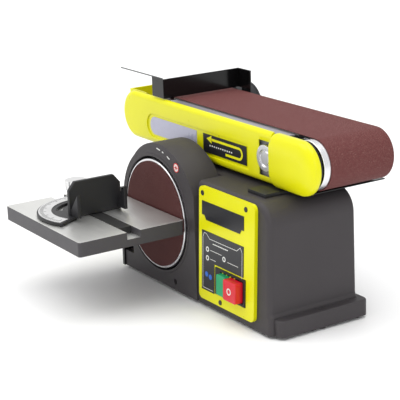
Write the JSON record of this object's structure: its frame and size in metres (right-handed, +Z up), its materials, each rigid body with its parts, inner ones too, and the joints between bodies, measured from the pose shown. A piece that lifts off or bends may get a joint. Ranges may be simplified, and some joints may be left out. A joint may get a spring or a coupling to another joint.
{
  "type": "bench belt and disc sander",
  "caption": "Bench sander with a tilting abrasive belt arm, a vertical sanding disc with tilting table and mitre gauge, and a motor in a moulded base.",
  "frame": {"origin": "midway between the two bench bolt holes, on the bench plane", "axes": "+X along the belt from the drive drum to the idler drum, +Y from the disc's face to the drive case, +Z up"},
  "size_m": [0.494, 0.392, 0.279],
  "materials": {
    "dark_housing": "fine grained",
    "plain_steel": "milled",
    "bright_steel": "polished",
    "dark_steel": "blackened",
    "black_steel": "gloss black paint",
    "grey_steel": "satin grey paint",
    "rubber": "matt",
    "black_plastic": "satin",
    "lime_plastic": "satin gloss",
    "green_plastic": "gloss",
    "red_plastic": "gloss",
    "pale_plastic": "satin",
    "copper": "lacquered wire",
    "cast_aluminium": "brushed and lacquered",
    "bright_aluminium": "turned",
    "abrasive": "bonded grit",
    "label_black": "printed film",
    "label_grey": "printed film",
    "clear_plastic": "clear sheet",
    "pale_metal": "anodised"
  },
  "bodies": {
    "base": {"base_housing": "dark_housing", "disc_guard": "dark_housing", "base_plate": "plain_steel", "rubber_feet": "rubber", "base_screws": "bright_steel", "arm_rest": "black_plastic", "drive_tunnel": "dark_housing", "drive_case": "black_plastic", "drive_cover": "black_plastic", "cover_screws": "bright_steel", "cable_gland": "rubber", "capacitor": "pale_plastic", "motor_stator": "plain_steel", "motor_windings": "copper", "motor_bells": "cast_aluminium", "motor_bearings": "bright_steel", "drive_belt": "rubber", "control_panel": "lime_plastic", "panel_screws": "dark_steel", "name_plate": "label_black", "rating_label": "label_black", "switch_body": "black_plastic", "table_bracket": "black_steel"},
    "rotor": {"motor_shaft": "bright_steel", "rotor_core": "plain_steel", "cooling_fan": "black_plastic", "motor_pulley": "cast_aluminium", "disc_plate": "bright_aluminium", "disc_screw": "bright_steel", "sanding_disc": "abrasive"},
    "arm": {"arm_frame": "grey_steel", "platen": "plain_steel", "sanding_belt": "abrasive", "side_cover": "lime_plastic", "cover_window": "label_grey", "direction_label": "label_black", "end_cap": "lime_plastic", "lower_guard": "black_steel", "dust_hood": "lime_plastic", "stop_fence": "black_steel", "clear_guard": "clear_plastic", "arm_screws": "bright_steel", "drum_bearings": "bright_steel"},
    "drive_roller": {"drive_drum": "bright_aluminium", "drum_shaft": "bright_steel", "drum_pulley": "cast_aluminium"},
    "carriage": {"tension_carriage": "black_steel", "tension_spring": "bright_steel"},
    "idler_roller": {"idler_drum": "bright_aluminium", "idler_bearings": "bright_steel"},
    "lever": {"tension_lever": "black_plastic"},
    "tracker": {"tracking_knob": "bright_aluminium"},
    "table": {"disc_table": "cast_aluminium"},
    "table_knob": {"table_lock_knob": "black_plastic"},
    "gauge_slide": {"mitre_bar": "dark_steel"},
    "gauge": {"mitre_head": "black_plastic", "mitre_scale": "pale_metal"},
    "gauge_knob": {"mitre_knob": "pale_metal"},
    "start": {"start_button": "green_plastic"},
    "stop": {"stop_button": "red_plastic"}
  },
  "joints": [
    {"name": "disc_spin", "type": "hinge", "parent": "base", "child": "rotor", "pos_m": [-0.084, -0.083, 0.105], "axis": [0, 1, 0], "continuous": true},
    {"name": "arm_tilt", "type": "hinge", "parent": "base", "child": "arm", "pos_m": [-0.17704, 0.05, 0.214], "axis": [0, -1, 0], "range_deg": [0, 90]},
    {"name": "drive_drum_spin", "type": "hinge", "parent": "arm", "child": "drive_roller", "pos_m": [-0.17704, 0.05, 0.214], "axis": [0, 1, 0], "continuous": true},
    {"name": "tension_slide", "type": "slide", "parent": "arm", "child": "carriage", "axis": [1, 0, 0], "range_m": [-0.008, 0], "deforming": ["tension_spring"]},
    {"name": "idler_spin", "type": "hinge", "parent": "carriage", "child": "idler_roller", "pos_m": [0.1755, 0.05, 0.214], "axis": [0, 1, 0], "continuous": true},
    {"name": "tension_lever_turn", "type": "hinge", "parent": "arm", "child": "lever", "pos_m": [0.04, 0.1, 0.214], "axis": [0, 1, 0], "range_deg": [0, 90.5]},
    {"name": "tracking_turn", "type": "hinge", "parent": "arm", "child": "tracker", "pos_m": [0.106, -0.02, 0.213], "axis": [0, 1, 0], "range_deg": [-180, 180]},
    {"name": "table_tilt", "type": "hinge", "parent": "base", "child": "table", "pos_m": [-0.187, -0.09, 0.0982], "axis": [1, 0, 0], "range_deg": [0, 45]},
    {"name": "table_lock_turn", "type": "hinge", "parent": "base", "child": "table_knob", "pos_m": [-0.2, -0.074, 0.0705], "axis": [1, 0, 0], "range_deg": [0, 180]},
    {"name": "gauge_travel", "type": "slide", "parent": "table", "child": "gauge_slide", "axis": [1, 0, 0], "range_m": [-0.1, 0.09]},
    {"name": "gauge_swivel", "type": "hinge", "parent": "gauge_slide", "child": "gauge", "pos_m": [-0.118, -0.1625, 0.1158], "axis": [0, 0, 1], "range_deg": [-55, 55]},
    {"name": "gauge_knob_turn", "type": "hinge", "parent": "gauge_slide", "child": "gauge_knob", "pos_m": [-0.163, -0.1625, 0.13], "axis": [0, 0, 1], "range_deg": [0, 180]},
    {"name": "start_press", "type": "slide", "parent": "base", "child": "start", "axis": [0, 0.9992, -0.0407], "range_m": [0, 0.0035], "stiffness_N_per_m": 600},
    {"name": "stop_press", "type": "slide", "parent": "base", "child": "stop", "axis": [0, 0.9992, -0.0407], "range_m": [0, 0.0035], "stiffness_N_per_m": 600}
  ],
  "couplings": [
    {"joint": "drive_drum_spin", "follows": "disc_spin", "ratio": 0.625},
    {"joint": "idler_spin", "follows": "disc_spin", "ratio": 0.625},
    {"joint": "tension_lever_turn", "follows": "tension_slide", "rad_per_m": -196}
  ]
}
